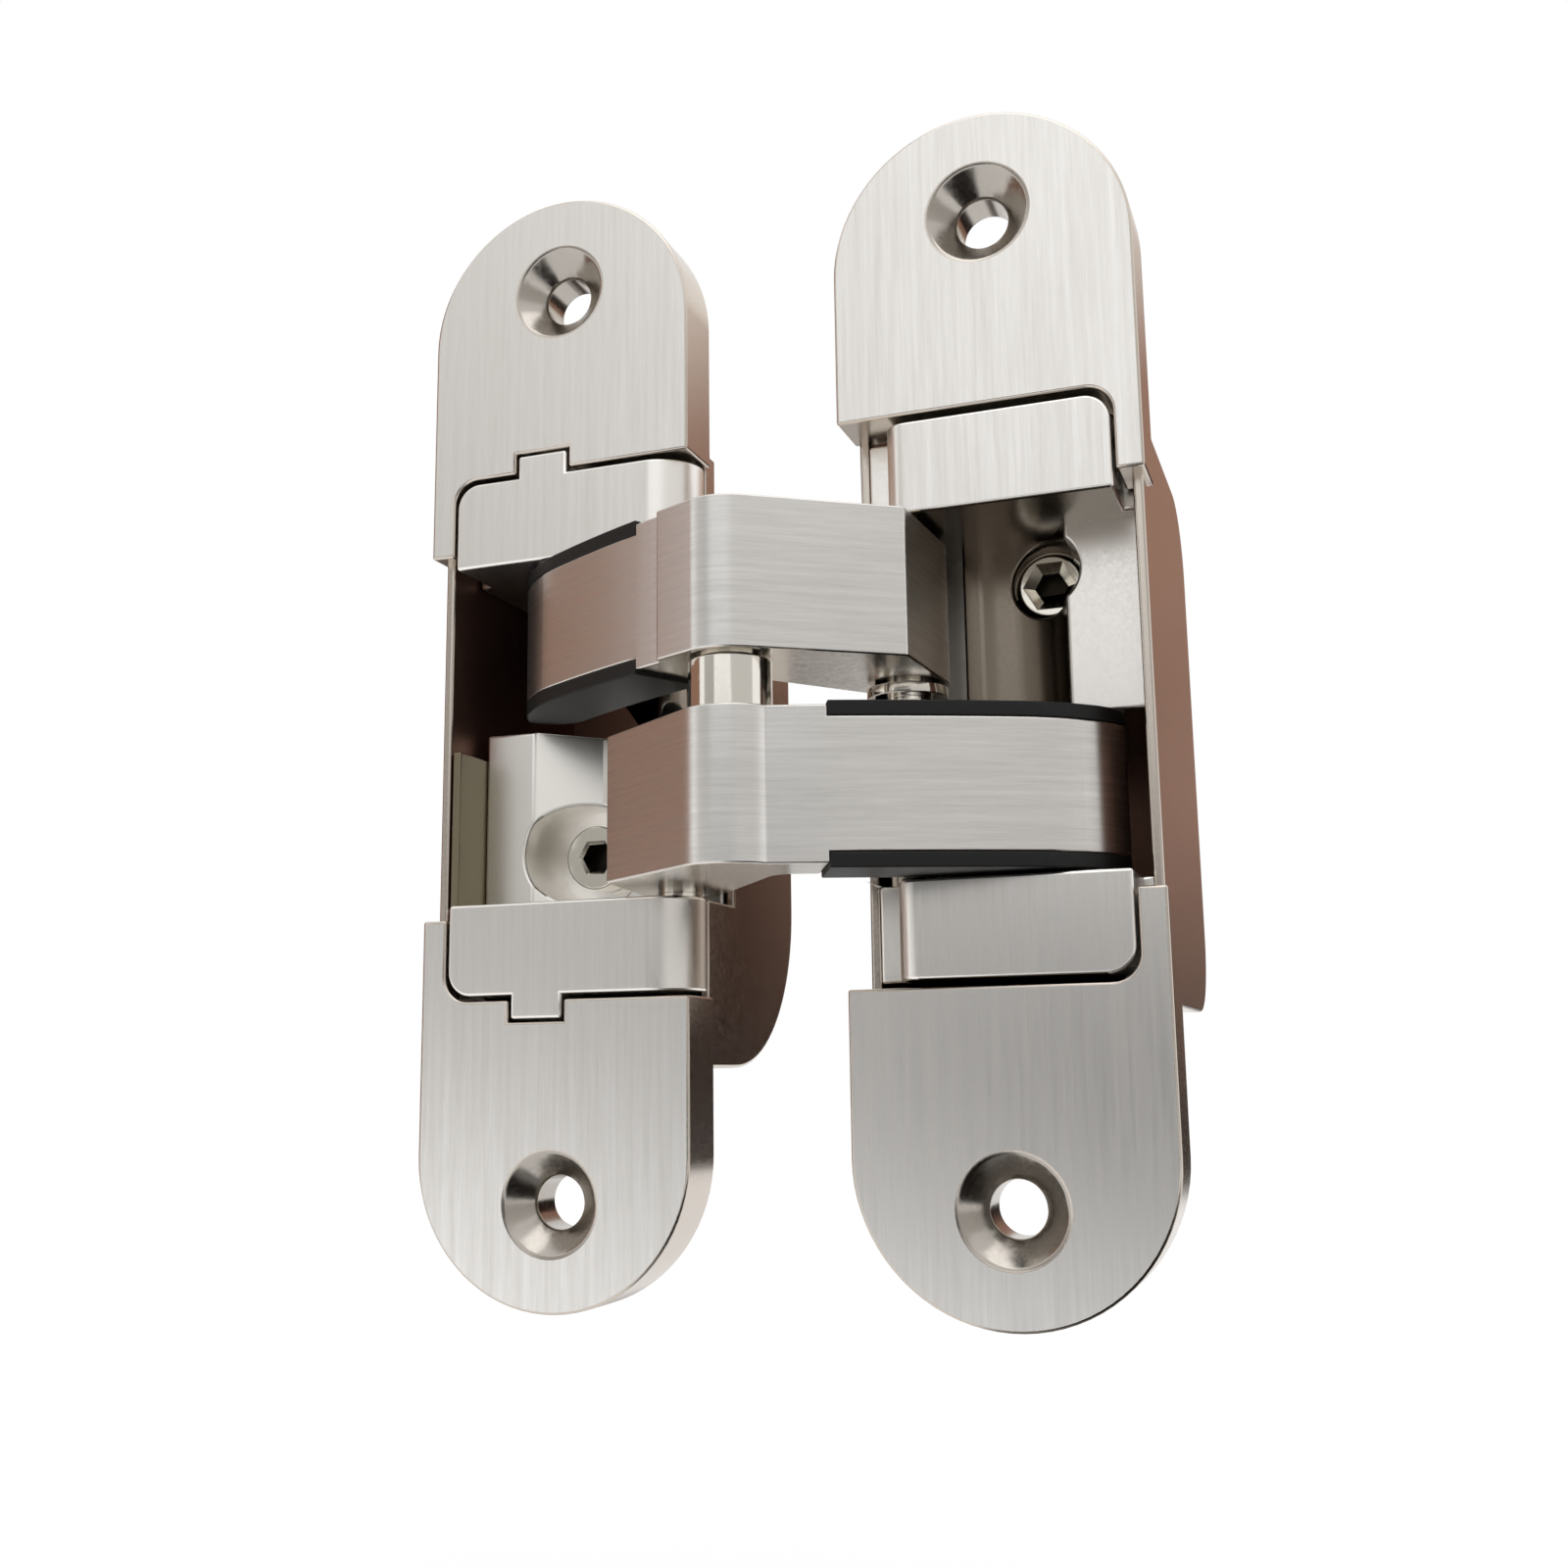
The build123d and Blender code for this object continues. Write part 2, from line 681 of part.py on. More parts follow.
with BuildPart() as lower_arm_guide_pin:
    guide_pin_l = right_tab_in + guide_depth - arm_top + guide_pin_seat
    with Locations((*at(lower_far_in, far_depth), -arm_top + guide_pin_seat - guide_pin_l / 2)):
        Cylinder(guide_pin_r, guide_pin_l)
lower_arm_guide_pin.part.label = "lower_arm_guide_pin"
export_step(lower_arm_guide_pin.part, "parts/lower_arm_guide_pin.step")

with BuildPart() as upper_arm_guide_pin:
    guide_pin_l = left_tab_in + guide_depth - arm_top + guide_pin_seat
    with Locations((*at(-upper_far_in, far_depth), arm_top - guide_pin_seat + guide_pin_l / 2)):
        Cylinder(guide_pin_r, guide_pin_l)
upper_arm_guide_pin.part.label = "upper_arm_guide_pin"
export_step(upper_arm_guide_pin.part, "parts/upper_arm_guide_pin.step")

with BuildPart() as left_wedge_plate:
    with BuildSketch(Plane.YZ.offset(mid_x - body_out)) as wedge_side:
        with Locations(((wedge_front + wedge_back) / 2 - flange_t, -(left_tab_in + mid_face) / 2)):
            Rectangle(wedge_back - wedge_front, left_tab_in - mid_face)
    extrude(amount=wedge_t)
left_wedge_plate.part.label = "left_wedge_plate"
export_step(left_wedge_plate.part, "parts/left_wedge_plate.step")

with BuildPart() as left_adjusting_screw:
    with BuildSketch(Plane.XZ.offset(flange_t - left_screw_face)) as left_head:
        with Locations((mid_x - left_screw_in, left_screw_z)):
            Circle(left_head_r)
    extrude(amount=-left_head_h)
    with BuildSketch(Plane.XZ.offset(flange_t - left_screw_face)) as left_shank:
        with Locations((mid_x - left_screw_in, left_screw_z)):
            Circle(left_shank_r)
    extrude(amount=-left_shank_l)
    with BuildSketch(Plane.XZ.offset(flange_t - left_screw_face)) as left_socket:
        with Locations((mid_x - left_screw_in, left_screw_z)):
            RegularPolygon(left_key / 2, 6, major_radius=False)
    extrude(amount=-key_depth, mode=Mode.SUBTRACT)
left_adjusting_screw.part.label = "left_adjusting_screw"
export_step(left_adjusting_screw.part, "parts/left_adjusting_screw.step")

with BuildPart() as right_set_screw:
    with BuildSketch(Plane.XZ.offset(flange_t - right_screw_face)) as set_screw_body:
        with Locations((mid_x + right_screw_in, right_screw_z)):
            Circle(right_screw_r)
    extrude(amount=-right_screw_l)
    with BuildSketch(Plane.XZ.offset(flange_t - right_screw_face)) as set_screw_socket:
        with Locations((mid_x + right_screw_in, right_screw_z)):
            RegularPolygon(right_key / 2, 6, major_radius=False)
    extrude(amount=-key_depth, mode=Mode.SUBTRACT)
right_set_screw.part.label = "right_set_screw"
export_step(right_set_screw.part, "parts/right_set_screw.step")
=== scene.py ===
import json
from math import hypot, radians

import bmesh
import bpy
from mathutils import Matrix, Vector

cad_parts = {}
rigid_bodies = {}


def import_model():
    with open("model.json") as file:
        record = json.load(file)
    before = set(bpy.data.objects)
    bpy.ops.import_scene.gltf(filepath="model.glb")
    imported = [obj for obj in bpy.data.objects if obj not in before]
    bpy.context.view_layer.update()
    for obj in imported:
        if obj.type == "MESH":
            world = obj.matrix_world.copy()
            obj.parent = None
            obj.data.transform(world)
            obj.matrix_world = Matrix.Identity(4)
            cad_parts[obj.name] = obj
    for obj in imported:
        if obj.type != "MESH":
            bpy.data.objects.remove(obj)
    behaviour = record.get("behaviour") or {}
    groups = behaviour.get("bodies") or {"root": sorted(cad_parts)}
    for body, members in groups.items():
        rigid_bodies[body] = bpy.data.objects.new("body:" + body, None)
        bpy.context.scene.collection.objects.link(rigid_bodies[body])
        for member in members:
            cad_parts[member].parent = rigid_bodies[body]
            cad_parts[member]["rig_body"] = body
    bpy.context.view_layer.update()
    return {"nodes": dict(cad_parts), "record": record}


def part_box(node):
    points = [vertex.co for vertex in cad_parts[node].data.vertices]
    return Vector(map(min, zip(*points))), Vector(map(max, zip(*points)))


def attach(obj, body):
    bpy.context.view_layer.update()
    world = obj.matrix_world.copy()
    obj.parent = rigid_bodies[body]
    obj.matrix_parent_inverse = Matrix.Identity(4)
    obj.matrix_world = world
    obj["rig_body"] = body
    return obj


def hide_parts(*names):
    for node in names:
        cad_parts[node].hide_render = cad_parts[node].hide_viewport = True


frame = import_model()

# Leaf housings: one zinc die casting each, two round-ended plates joined to a deep box.
# The plate faces are ground lengthways after plating, the countersinks are turned bright,
# and the box keeps the smooth plated skin of the casting. Wood screws hold each leaf.
mm = 0.001
housing_edge = 0.28 * mm
edge_segments = 3
weld_gap = 0.001 * mm
same_plane = radians(0.3)
curve_from = radians(0.5)
sharp_from = radians(25)
crease_from = radians(38)
plate_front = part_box("left_housing")[0].y
front_slack = 0.1 * mm
screw_x = {"left_housing": 0.0, "right_housing": frame["record"]["mounts"][1]["pos_m"][0]}
screw_z = frame["record"]["mounts"][0]["dims"]["spacing_y_mm"] / 2 * mm
sink_reach = 5.4 * mm
pocket_start = 0.3 * mm
pocket_back = 20 * mm


def linear(code, alpha=1.0):
    """Linear colour of an sRGB hex value."""
    parts = [int(code[i:i + 2], 16) / 255 for i in (1, 3, 5)]
    return (*[c / 12.92 if c < 0.04045 else ((c + 0.055) / 1.055) ** 2.4 for c in parts], alpha)


def put(tree, kind, inputs=None, **settings):
    """Adds a node with its settings, and sets or links its inputs."""
    node = tree.nodes.new(kind)
    for name, value in settings.items():
        setattr(node, name, value)
    for name, value in (inputs or {}).items():
        if isinstance(value, bpy.types.NodeSocket):
            tree.links.new(value, node.inputs[name])
        else:
            node.inputs[name].default_value = value
    return node


def blank(name):
    """New node material and its tree, emptied."""
    material = bpy.data.materials.new(name)
    material.use_nodes = True
    material.node_tree.nodes.clear()
    return material, material.node_tree


def brushed_nickel(name, pale, dark, grain, roughness, spin):
    """Satin nickel ground with a belt: fine scratches along one way stretch the highlights."""
    band_share = 0.22
    rough_swing = 0.05
    scratch_depth = 0.01 * mm
    material, tree = blank(name)
    place = put(tree, "ShaderNodeTexCoord").outputs["Object"]
    fine = put(tree, "ShaderNodeMapping", {"Vector": place, "Scale": [1 / (g * mm) for g in grain]})
    hair = put(tree, "ShaderNodeTexNoise", {
        "Vector": fine.outputs["Vector"], "Scale": 1.0, "Detail": 4.0, "Roughness": 0.65})
    wide = put(tree, "ShaderNodeMapping", {
        "Vector": place, "Scale": [band_share / (g * mm) for g in grain]})
    band = put(tree, "ShaderNodeTexNoise", {
        "Vector": wide.outputs["Vector"], "Scale": 1.0, "Detail": 2.0, "Roughness": 0.5})
    both = put(tree, "ShaderNodeMath", {0: hair.outputs["Fac"], 1: band.outputs["Fac"]}, operation="ADD")
    share = put(tree, "ShaderNodeMapRange", {
        "Value": both.outputs["Value"], "From Min": 0.6, "From Max": 1.4})
    tone = put(tree, "ShaderNodeMix", {
        "Factor": share.outputs["Result"], 6: linear(dark), 7: linear(pale)}, data_type="RGBA")
    rough = put(tree, "ShaderNodeMapRange", {
        "Value": share.outputs["Result"],
        "To Min": roughness + rough_swing, "To Max": roughness - rough_swing})
    bump = put(tree, "ShaderNodeBump", {
        "Height": hair.outputs["Fac"], "Strength": 0.4, "Distance": scratch_depth})
    turn = put(tree, "ShaderNodeTangent", direction_type="RADIAL", axis="Z")
    metal = put(tree, "ShaderNodeBsdfPrincipled", {
        "Base Color": tone.outputs[2], "Metallic": 1.0, "Roughness": rough.outputs["Result"],
        "Anisotropic": 0.55, "Anisotropic Rotation": spin, "Normal": bump.outputs["Normal"],
        "Tangent": turn.outputs["Tangent"]})
    put(tree, "ShaderNodeOutputMaterial", {"Surface": metal.outputs["BSDF"]})
    return material


def plated_zinc(name, colour, roughness, ripple):
    """Bright nickel over die-cast zinc: a smooth skin with the faint ripple of the casting."""
    wave_size = 1.6 * mm
    cloud_size = 0.35 * mm
    wave_depth = 0.05 * mm
    material, tree = blank(name)
    place = put(tree, "ShaderNodeTexCoord").outputs["Object"]
    wave = put(tree, "ShaderNodeTexNoise", {"Vector": place, "Scale": 1 / wave_size, "Detail": 2.0})
    cloud = put(tree, "ShaderNodeTexNoise", {"Vector": place, "Scale": 1 / cloud_size, "Detail": 3.0})
    rough = put(tree, "ShaderNodeMapRange", {
        "Value": cloud.outputs["Fac"], "From Min": 0.3, "From Max": 0.7,
        "To Min": roughness - 0.03, "To Max": roughness + 0.05})
    bump = put(tree, "ShaderNodeBump", {
        "Height": wave.outputs["Fac"], "Strength": ripple, "Distance": wave_depth})
    metal = put(tree, "ShaderNodeBsdfPrincipled", {
        "Base Color": linear(colour), "Metallic": 1.0, "Roughness": rough.outputs["Result"],
        "Normal": bump.outputs["Normal"]})
    put(tree, "ShaderNodeOutputMaterial", {"Surface": metal.outputs["BSDF"]})
    return material


def rounded(node, edge, keep=None, shape=None):
    """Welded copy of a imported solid, shaped further if asked, with its outer sharp edges broken."""
    mesh = bmesh.new()
    mesh.from_mesh(frame["nodes"][node].data)
    bmesh.ops.remove_doubles(mesh, verts=mesh.verts, dist=weld_gap)
    bmesh.ops.dissolve_limit(mesh, angle_limit=same_plane, verts=mesh.verts, edges=mesh.edges)
    if shape:
        shape(mesh)
    sharp = [e for e in mesh.edges if e.calc_face_angle_signed() > sharp_from and (keep is None or keep(e))]
    for face in mesh.faces:
        face.smooth = any(curve_from < e.calc_face_angle(0.0) < sharp_from for e in face.edges)
    rounds = bmesh.ops.bevel(mesh, geom=sharp, offset=edge, offset_type="OFFSET", segments=edge_segments,
                             profile=0.5, affect="EDGES", clamp_overlap=False)
    for face in rounds["faces"]:
        face.smooth = True
    for crease in mesh.edges:
        crease.smooth = crease.calc_face_angle(0.0) < crease_from
    return mesh


def on_front(face):
    """Whether a face lies in the plane of the plates, which is ground in one pass."""
    return face.normal.y < -0.99 and face.calc_center_median().y < plate_front + front_slack


def inside_box(face, low, high):
    """Whether a face of a housing lines the pocket behind the plates."""
    spot = face.calc_center_median()
    to_middle = Vector(((low.x + high.x) / 2 - spot.x, 0.0, -spot.z)).normalized()
    lines = face.normal.dot(to_middle) > 0.2 or (face.normal.y < -0.5 and spot.y > pocket_back)
    return spot.y > pocket_start and lines


def finish_piece(mesh, node, materials):
    """Makes the object of a finished mesh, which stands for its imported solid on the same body."""
    data = bpy.data.meshes.new(node + "_finished")
    mesh.to_mesh(data)
    mesh.free()
    if "custom_normal" in data.attributes:
        data.attributes.remove(data.attributes["custom_normal"])
    for material in materials:
        data.materials.append(material)
    piece = bpy.data.objects.new(node + "_finished", data)
    bpy.context.scene.collection.objects.link(piece)
    normals = piece.modifiers.new("plane_shading", "WEIGHTED_NORMAL")
    normals.weight = 90
    normals.keep_sharp = True
    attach(piece, frame["nodes"][node]["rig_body"])
    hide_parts(node)


# Ground plate: upright hairlines that stretch the light into a pale satin sheen.
plate_brushed = brushed_nickel(
    "brushed_satin_nickel_plate", "#FAF8F5", "#E8E5E0", (0.12, 0.12, 4.0), 0.34, 0.0)
# Plated casting: a soft, slightly warm mirror of whatever stands beside the hinge.
box_plated = plated_zinc("nickel_plated_zinc_casting", "#CFC6BC", 0.22, 0.06)
# Turned cone: a greyer mirror with bands of light and dark running round it.
sink_turned = plated_zinc("turned_nickel_countersink", "#B4AEA6", 0.2, 0.05)
# Inside of the box: painted shade, a brownish dark with hardly a highlight.
box_inside_painted_shade = plated_zinc("zinc_inside_box_painted_shade", "#8A6A5C", 0.45, 0.1)

for node, centre_x in screw_x.items():
    leaf = rounded(node, housing_edge)
    low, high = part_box(node)
    for face in leaf.faces:
        spot = face.calc_center_median()
        reach = hypot(spot.x - centre_x, abs(spot.z) - screw_z)
        if on_front(face):
            face.material_index = 0
        elif reach < sink_reach and abs(face.normal.y) < 0.95:
            face.material_index = 2
        # Faces lining the pocket take the brownish painted shade.
        elif inside_box(face, low, high):
            face.material_index = 3
        else:
            face.material_index = 1
    finish_piece(leaf, node, (plate_brushed, box_plated, sink_turned, box_inside_painted_shade))

# Carriers: zinc castings that sit in the boxes and hold the pivot pins and the screws.
# Their two tabs lie flush with the plates and are ground with them. The blocks between the tabs
# keep the bright plated skin, the hollow round the set screw and the tab undersides over it are
# coloured dim brown as painted shade, and the slope is milled.
carrier_edge = 0.32 * mm
middle_x = screw_x["right_housing"] / 2
hollow_x = (middle_x + 17.3 * mm, middle_x + 28.6 * mm)
hollow_y = 3.2 * mm
slope_x = (middle_x - 29.5 * mm, middle_x - 24.0 * mm)
slope_lean = (0.0, -2.7, 0.3)
# Plated block: an even, pale skin that blurs what it mirrors.
carrier_plated = plated_zinc("satin_nickel_carrier", "#FAF7F2", 0.31, 0.05)
# Hollow and the tab undersides over it: a dim brownish mirror, darker as painted shade.
hollow_painted_shade = plated_zinc("nickel_hollow_painted_shade", "#857B6F", 0.22, 0.05)
# Slope: pale nickel that shines almost like a flat. Its shading leans to the front, because the
# photograph's slope catches more light than the solid's would.
milled, tree = blank("milled_nickel_slope")
upright = put(tree, "ShaderNodeNewGeometry").outputs["Normal"]
leaning = put(tree, "ShaderNodeVectorMath", {0: upright, 1: slope_lean}, operation="ADD")
facing = put(tree, "ShaderNodeVectorMath", {0: leaning.outputs["Vector"]}, operation="NORMALIZE")
skin = put(tree, "ShaderNodeBsdfPrincipled", {
    "Base Color": linear("#EFECE6"), "Metallic": 1.0, "Roughness": 0.33,
    "Normal": facing.outputs["Vector"]})
put(tree, "ShaderNodeOutputMaterial", {"Surface": skin.outputs["BSDF"]})

for node in ("left_carrier", "right_carrier"):
    carrier = rounded(node, carrier_edge)
    for face in carrier.faces:
        spot = face.calc_center_median()
        if on_front(face):
            face.material_index = 0
        # The hollow and the downward faces over it take the brownish painted shade.
        elif hollow_x[0] < spot.x < hollow_x[1] and (spot.y > hollow_y or face.normal.z < -0.5):
            face.material_index = 2
        elif slope_x[0] < spot.x < slope_x[1] and face.normal.x > 0.4 and face.normal.y < -0.4:
            face.material_index = 3
        else:
            face.material_index = 1
    finish_piece(carrier, node, (plate_brushed, carrier_plated, hollow_painted_shade, milled))

# Arms: zinc castings that turn on the pivot pins and cross on the centre pin.
# Their broad faces are ground across and plated satin, and curve back towards the guide pin
# at the far end. Their flat sides keep a finer, brighter skin.
arm_edge = 0.22 * mm
nose_start = -6.5 * mm
nose_end = 4.2 * mm
nose_back = 2.9 * mm
nose_half = 4.0 * mm
nose_cuts = 10
pin_low, pin_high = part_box("lower_arm_guide_pin")
bore_reach = (pin_high.x - pin_low.x) / 2 + 0.2 * mm
# Ground arm: level hairlines that draw the light out across the bar.
arm_brushed = brushed_nickel(
    "brushed_satin_nickel_arm", "#EEECE9", "#D4D2CE", (3.0, 3.0, 0.1), 0.33, 0.25)
# Plated side: a clear, slightly warm mirror.
arm_plated = plated_zinc("satin_nickel_arm_end", "#DDD7CE", 0.2, 0.04)


def middle_of(node):
    """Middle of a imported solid's box, at the height of the frame's origin."""
    low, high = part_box(node)
    return Vector(((low.x + high.x) / 2, (low.y + high.y) / 2, 0.0))


def blunt_nose(mesh, arm):
    """Curves the front of an arm, or of a strip on it, back towards the guide pin at its far end."""
    far = middle_of(arm + "_guide_pin")
    along = (far - middle_of("center_pin")).normalized()
    out = Vector((along.y, -along.x, 0.0)) if along.x > 0 else Vector((-along.y, along.x, 0.0))
    for cut in range(nose_cuts):
        place = far + along * (nose_start + (nose_end - nose_start) * cut / nose_cuts)
        bmesh.ops.bisect_plane(mesh, geom=mesh.verts[:] + mesh.edges[:] + mesh.faces[:],
                               plane_co=place, plane_no=along)
    for vert in mesh.verts:
        flat = Vector((vert.co.x - far.x, vert.co.y - far.y, 0.0))
        share = min(max((flat.dot(along) - nose_start) / (nose_end - nose_start), 0.0), 1.0)
        front = max(flat.dot(out) / nose_half, 0.0)
        if flat.length > bore_reach:
            vert.co -= out * nose_back * share ** 2 * front


for node in ("lower_arm", "upper_arm"):
    arm = rounded(node, arm_edge, shape=lambda mesh: blunt_nose(mesh, node))
    for face in arm.faces:
        face.material_index = 1 if abs(face.normal.z) > 0.5 else 0
    finish_piece(arm, node, (arm_brushed, arm_plated))

# Pins and collars: steel turned to size and ground without centres, then plated bright.
# The pins are pressed into the arms and carriers, and the collars sit on the pivot pins.
pin_edge = 0.12 * mm
# Ground steel: a near mirror with narrow upright stripes of light and dark.
pin_steel = plated_zinc("bright_ground_steel", "#EAE6DE", 0.1, 0.01)

for node in ("center_pin", "left_pivot_pin", "right_pivot_pin", "left_pivot_collar",
             "right_pivot_collar", "lower_arm_guide_pin", "upper_arm_guide_pin"):
    finish_piece(rounded(node, pin_edge), node, (pin_steel,))

# Glide strips: black nylon moulded over both sides of each arm, a little proud of the metal.
# They keep the arms off the carriers and follow the curve of the arms' far ends.
strip_edge = 0.15 * mm
grit_size = 0.12 * mm
grit_depth = 0.01 * mm
# Moulded nylon: a fine grit that leaves only a weak, broad shine on the black.
nylon, tree = blank("black_moulded_nylon")
place = put(tree, "ShaderNodeTexCoord").outputs["Object"]
grit = put(tree, "ShaderNodeTexNoise", {"Vector": place, "Scale": 1 / grit_size, "Detail": 3.0})
rough = put(tree, "ShaderNodeMapRange", {"Value": grit.outputs["Fac"], "To Min": 0.42, "To Max": 0.6})
bump = put(tree, "ShaderNodeBump", {"Height": grit.outputs["Fac"], "Strength": 0.3, "Distance": grit_depth})
skin = put(tree, "ShaderNodeBsdfPrincipled", {
    "Base Color": linear("#0A0A0A"), "Roughness": rough.outputs["Result"], "IOR": 1.53,
    "Specular IOR Level": 0.35, "Normal": bump.outputs["Normal"]})
put(tree, "ShaderNodeOutputMaterial", {"Surface": skin.outputs["BSDF"]})

for arm in ("lower_arm", "upper_arm"):
    for node in (arm + "_inner_strip", arm + "_outer_strip"):
        strip = rounded(node, strip_edge, shape=lambda mesh: blunt_nose(mesh, arm))
        finish_piece(strip, node, (nylon,))

# Screws: socket screws in bright nickel-plated steel. One adjusts the left carrier,
# and the other clamps the right one. Each socket has a sloping mouth, wide on the
# set screw, and its bottom is coloured nearly black as painted shade.
screw_edge = 0.2 * mm
socket_reach = 1.9 * mm
rim_slack = 0.05 * mm
socket_mouth = {"left_adjusting_screw": 0.35 * mm, "right_set_screw": 0.95 * mm}
socket_shade_share = 0.8
# Plated head: a bright mirror whose facets flash light and dark.
screw_steel = plated_zinc("bright_nickel_screw", "#EAE6DC", 0.14, 0.03)
# Socket bottom: painted shade, nearly black with a faint brown gleam.
socket_painted_shade = plated_zinc("steel_socket_painted_shade", "#2E2923", 0.32, 0.05)

for node, mouth in socket_mouth.items():
    side = node.split("_")[0]
    turning = next(j for j in frame["record"]["behaviour"]["joints"] if j["name"] == side + "_screw_turn")
    axis = Vector(turning["pos_m"])
    screw = rounded(node, screw_edge, lambda e: max(
        hypot(v.co.x - axis.x, v.co.z - axis.z) for v in e.verts) > socket_reach)
    rim = [e for e in screw.edges if all(
        hypot(v.co.x - axis.x, v.co.z - axis.z) < socket_reach and abs(v.co.y - axis.y) < rim_slack
        for v in e.verts)]
    bmesh.ops.bevel(screw, geom=rim, offset=mouth, offset_type="OFFSET", segments=1, affect="EDGES",
                    clamp_overlap=False)
    for face in screw.faces:
        spot = face.calc_center_median()
        in_socket = hypot(spot.x - axis.x, spot.z - axis.z) < socket_reach
        # The deep part of each socket takes the nearly black painted shade.
        face.material_index = 1 if in_socket and spot.y > axis.y + socket_shade_share * mouth else 0
    finish_piece(screw, node, (screw_steel, socket_painted_shade))

# Wedge plate: a strip cut from sheet steel and passivated yellow.
# It stands beside the left carrier's block and moves with it.
# Passivated steel: a dull olive brass tone without a clear reflection.
wedge_steel = plated_zinc("yellow_passivated_steel", "#8C836E", 0.32, 0.04)
finish_piece(rounded("left_wedge_plate", strip_edge), "left_wedge_plate", (wedge_steel,))

# Studio: a white floor and surround, one soft lamp, and cards that only the metal sees.
# The front card is dark low down and white above, pale cards stand on both sides of it, and
# warm brown ones beside and behind the hinge give the metal its brown sides.
fade_start = -0.45
floor_z = -0.12
floor_half = 4.0
floor_fade = (0.15, 0.6)
floor_glow = (0.53, 0.68)
world_level = (0.5, 1.0)
lamp_size = (0.5, 0.4)
lamp_watts = 0.6
lamp_place = Vector((0.1, -0.15, 0.6))
middle = Vector((0.0231, 0.0, 0.0))


def card(name, size, place, facing, soft, *stops):
    """Flat glowing card that faces a point, shaded from bottom to top and faded out at its edge."""
    mesh = bmesh.new()
    bmesh.ops.create_grid(mesh, x_segments=1, y_segments=1, size=0.5)
    aim = (Vector(facing) - Vector(place)).to_track_quat("Z", "Y").to_matrix().to_4x4()
    data = bpy.data.meshes.new(name)
    mesh.to_mesh(data)
    mesh.free()
    material, tree = blank(name)
    coords = put(tree, "ShaderNodeTexCoord")
    local = put(tree, "ShaderNodeSeparateXYZ", {"Vector": coords.outputs["Generated"]})
    fade = put(tree, "ShaderNodeValToRGB", {"Fac": local.outputs["Y"]})
    for share, colour in stops:
        fade.color_ramp.elements.new(share).color = linear(colour)
    fade.color_ramp.elements.remove(fade.color_ramp.elements[0])
    fade.color_ramp.elements.remove(fade.color_ramp.elements[-1])
    glow = put(tree, "ShaderNodeEmission", {"Color": fade.outputs["Color"], "Strength": 1.0})
    spread = put(tree, "ShaderNodeMapping", {"Vector": coords.outputs["Object"], "Scale": (2.0, 2.0, 0.0)})
    round_off = put(tree, "ShaderNodeTexGradient", {"Vector": spread.outputs["Vector"]},
                    gradient_type="SPHERICAL")
    cover = put(tree, "ShaderNodeMapRange", {
        "Value": round_off.outputs["Fac"], "From Min": fade_start, "From Max": soft + fade_start})
    clear = put(tree, "ShaderNodeBsdfTransparent")
    faded = put(tree, "ShaderNodeMixShader", {
        0: cover.outputs["Result"], 1: clear.outputs["BSDF"], 2: glow.outputs["Emission"]})
    put(tree, "ShaderNodeOutputMaterial", {"Surface": faded.outputs["Shader"]})
    data.materials.append(material)
    board = bpy.data.objects.new(name, data)
    board.matrix_world = Matrix.Translation(place) @ aim @ Matrix.Diagonal((*size, 1, 1))
    bpy.context.scene.collection.objects.link(board)
    board.visible_camera = False
    board.visible_diffuse = False
    board.visible_shadow = False


def background_rays(tree):
    """Socket that is 1 for the rays that show the background: camera, glossy and transmission."""
    path = put(tree, "ShaderNodeLightPath")
    seen = put(tree, "ShaderNodeMath", {
        0: path.outputs["Is Camera Ray"], 1: path.outputs["Is Glossy Ray"]}, operation="MAXIMUM")
    seen = put(tree, "ShaderNodeMath", {
        0: seen.outputs["Value"], 1: path.outputs["Is Transmission Ray"]}, operation="MAXIMUM")
    return seen.outputs["Value"]


card("front_card", (0.7, 0.49), (0.05, -0.8, -0.045), (0.05, 0.0, -0.045), 0.4,
     (0.02, "#4A4846"), (0.25, "#1E1C1A"), (0.5, "#262422"), (0.7, "#94928F"), (0.98, "#FFFFFF"))
card("left_front_card", (0.7, 0.84), (-0.65, -0.8, 0.38), (-0.65, 0.0, 0.38), 0.4,
     (0.02, "#AAA8A5"), (0.98, "#CECCC8"))
card("right_front_card", (1.2, 0.8), (0.85, -0.62, 0.15), (0.04, 0.0, 0.0), 0.4,
     (0.02, "#BFBDBA"), (0.98, "#D6D4D1"))
card("back_card", (0.74, 0.9), (0.37, 0.6, 0.1), (0.37, 0.0, 0.1), 0.6,
     (0.32, "#3A322D"), (0.48, "#A88474"), (0.71, "#9E7967"), (0.84, "#FFFAF4"))
card("left_card", (0.9, 0.8), (-0.6, 0.15, 0.1), (0.0231, 0.0, 0.05), 0.4,
     (0.02, "#826152"), (0.98, "#9C7B68"))
card("shade_card", (0.32, 0.4), (0.3, 0.55, -0.04), (0.0, 0.0, -0.04), 0.5,
     (0.02, "#2A1B15"), (0.98, "#0E0705"))
card("table_card", (0.5, 0.6), (-0.3, 0.4, -0.115), (-0.3, 0.4, 0.0), 0.8,
     (0.02, "#3A2A22"), (0.98, "#4A382F"))
card("front_floor_card", (0.6, 0.4), (0.08, -0.68, -0.117), (0.08, -0.68, 0.0), 0.7,
     (0.02, "#3A3836"), (0.98, "#3A3836"))
card("right_floor_card", (0.3, 0.26), (0.17, -0.1, -0.115), (0.17, -0.1, 0.0), 0.6,
     (0.02, "#1E1A18"), (0.98, "#1E1A18"))

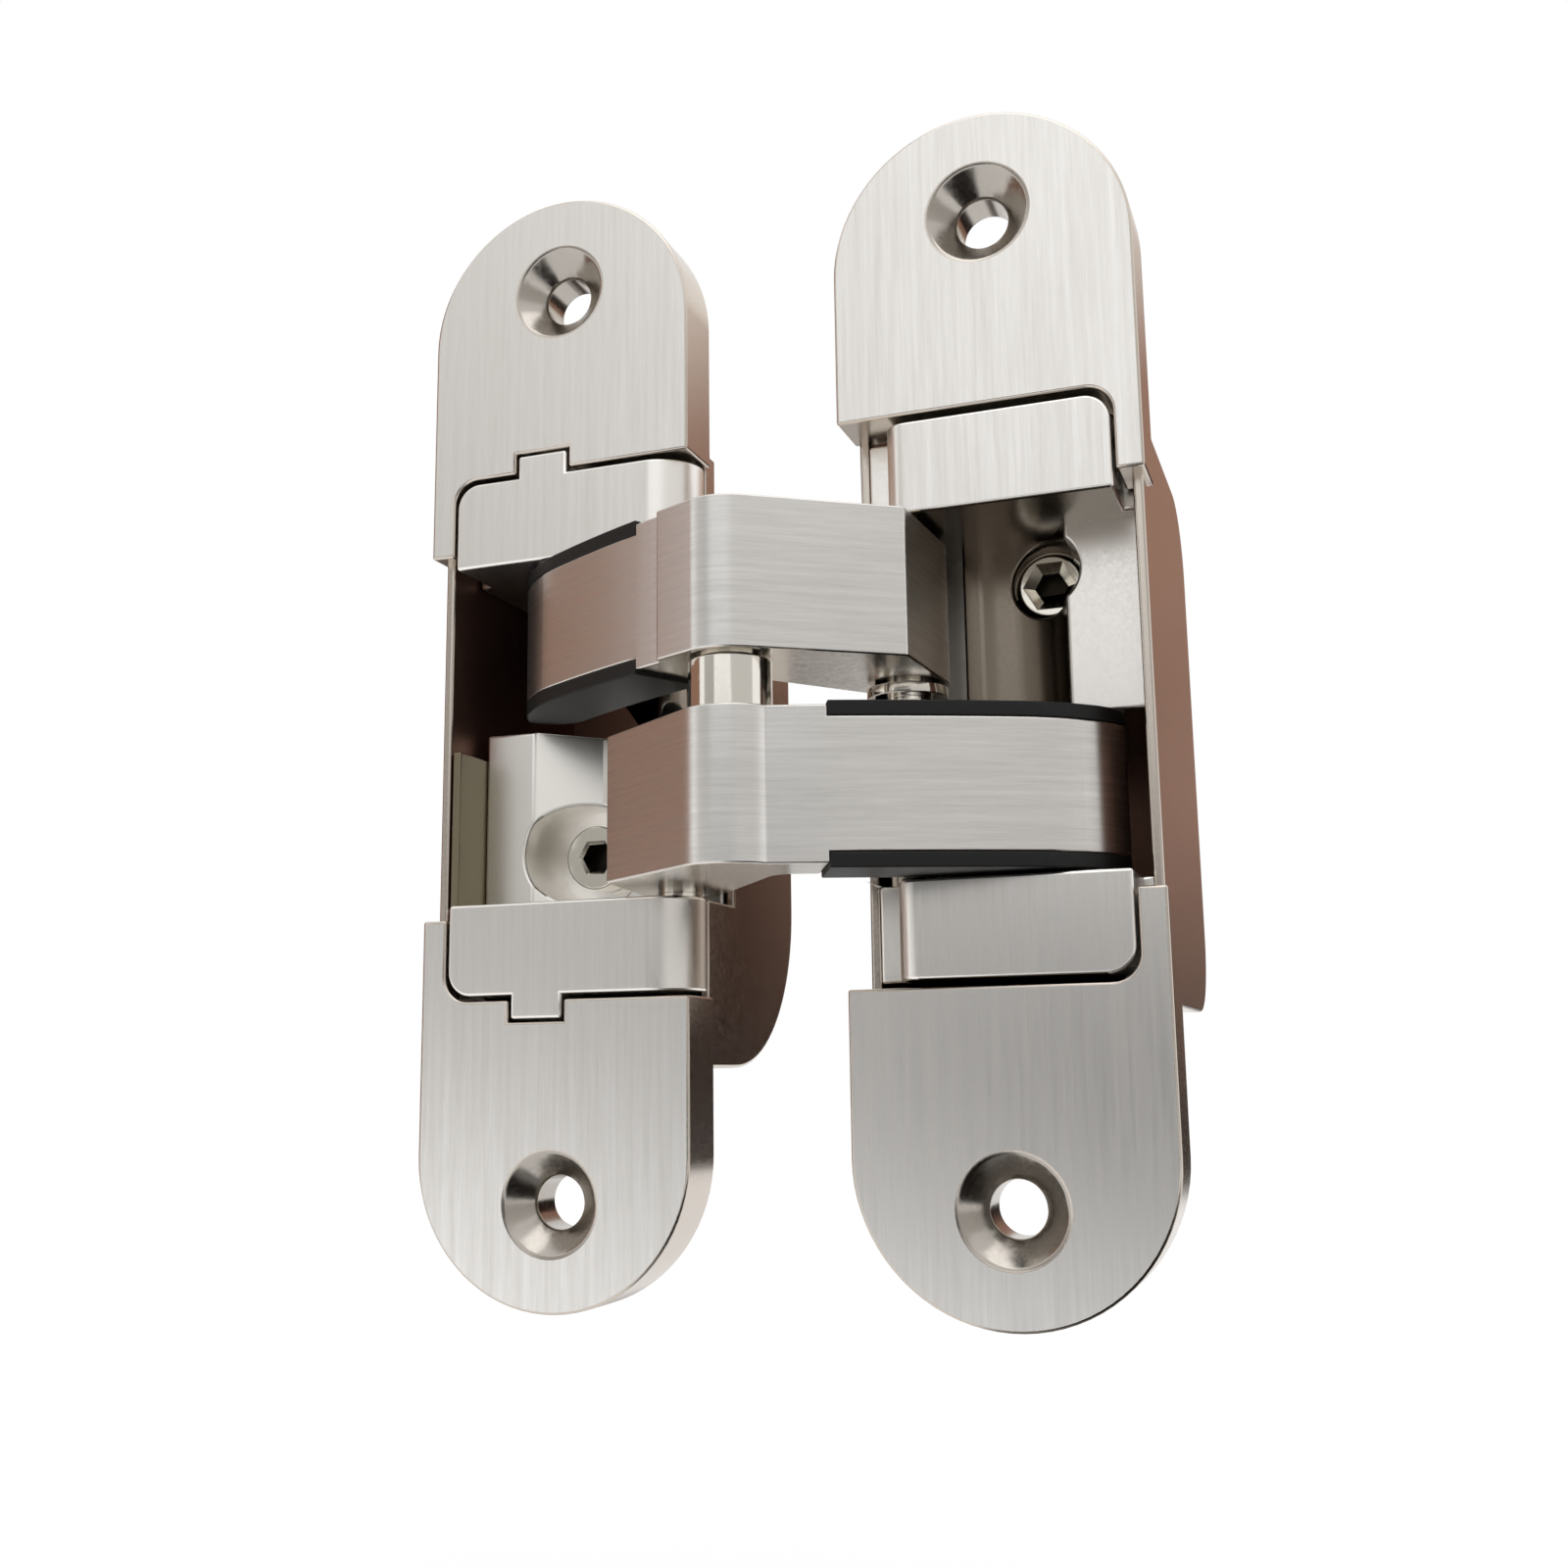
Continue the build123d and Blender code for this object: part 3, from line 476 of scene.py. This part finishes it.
# Floor paint: matt white that glows a little, so it reads as white and still takes the shadow.
floor_mesh = bmesh.new()
bmesh.ops.create_grid(floor_mesh, x_segments=1, y_segments=1, size=floor_half,
                      matrix=Matrix.Translation((0.0, 0.0, floor_z)))
floor_data = bpy.data.meshes.new("floor")
floor_mesh.to_mesh(floor_data)
floor_mesh.free()
floor_paint, tree = blank("white_floor_paint")
place = put(tree, "ShaderNodeTexCoord").outputs["Object"]
away = put(tree, "ShaderNodeVectorMath", {0: place}, operation="LENGTH")
glow = put(tree, "ShaderNodeMapRange", {
    "Value": away.outputs["Value"], "From Min": floor_fade[0], "From Max": floor_fade[1],
    "To Min": floor_glow[0], "To Max": floor_glow[1]})
lift = put(tree, "ShaderNodeMath", {0: background_rays(tree), 1: glow.outputs["Result"]},
           operation="MULTIPLY")
matte = put(tree, "ShaderNodeBsdfDiffuse", {"Color": linear("#E6E6E6")})
white = put(tree, "ShaderNodeEmission", {"Color": linear("#FFFFFF"), "Strength": lift.outputs["Value"]})
both = put(tree, "ShaderNodeAddShader", {0: matte.outputs["BSDF"], 1: white.outputs["Emission"]})
put(tree, "ShaderNodeOutputMaterial", {"Surface": both.outputs["Shader"]})
floor_data.materials.append(floor_paint)
floor = bpy.data.objects.new("floor", floor_data)
bpy.context.scene.collection.objects.link(floor)

world = bpy.data.worlds.new("white_surround")
bpy.context.scene.world = world
world.use_nodes = True
tree = world.node_tree
tree.nodes.clear()
level = put(tree, "ShaderNodeMapRange", {
    "Value": background_rays(tree), "To Min": world_level[0], "To Max": world_level[1]})
back = put(tree, "ShaderNodeBackground", {"Color": linear("#FFFFFF"), "Strength": level.outputs["Result"]})
put(tree, "ShaderNodeOutputWorld", {"Surface": back.outputs["Background"]})

lamp_data = bpy.data.lights.new("softbox", "AREA")
lamp_data.shape = "RECTANGLE"
lamp_data.size, lamp_data.size_y = lamp_size
lamp_data.energy = lamp_watts
lamp = bpy.data.objects.new("softbox", lamp_data)
lamp.location = lamp_place
lamp.rotation_mode = "QUATERNION"
lamp.rotation_quaternion = (middle - lamp_place).to_track_quat("-Z", "Y")
bpy.context.scene.collection.objects.link(lamp)

# Camera: the photograph's view, fitted to the corners of the four plates.
camera_place = (0.07849, -0.15436, -0.03564)
camera_look = Vector((-0.33402, 0.92647, 0.17345)).normalized()
camera_up = Vector((0.07184, -0.15846, 0.98475))
camera_data = bpy.data.cameras.new("camera")
camera_data.sensor_width = 36.0
camera_data.lens = 37.699
camera_data.clip_start = 0.005
camera = bpy.data.objects.new("camera", camera_data)
camera_side = camera_look.cross(camera_up).normalized()
turned = Matrix((camera_side, camera_side.cross(camera_look), -camera_look)).transposed().to_4x4()
camera.matrix_world = Matrix.Translation(camera_place) @ turned
bpy.context.scene.collection.objects.link(camera)
bpy.context.scene.camera = camera
bpy.context.scene.view_settings.view_transform = "Standard"
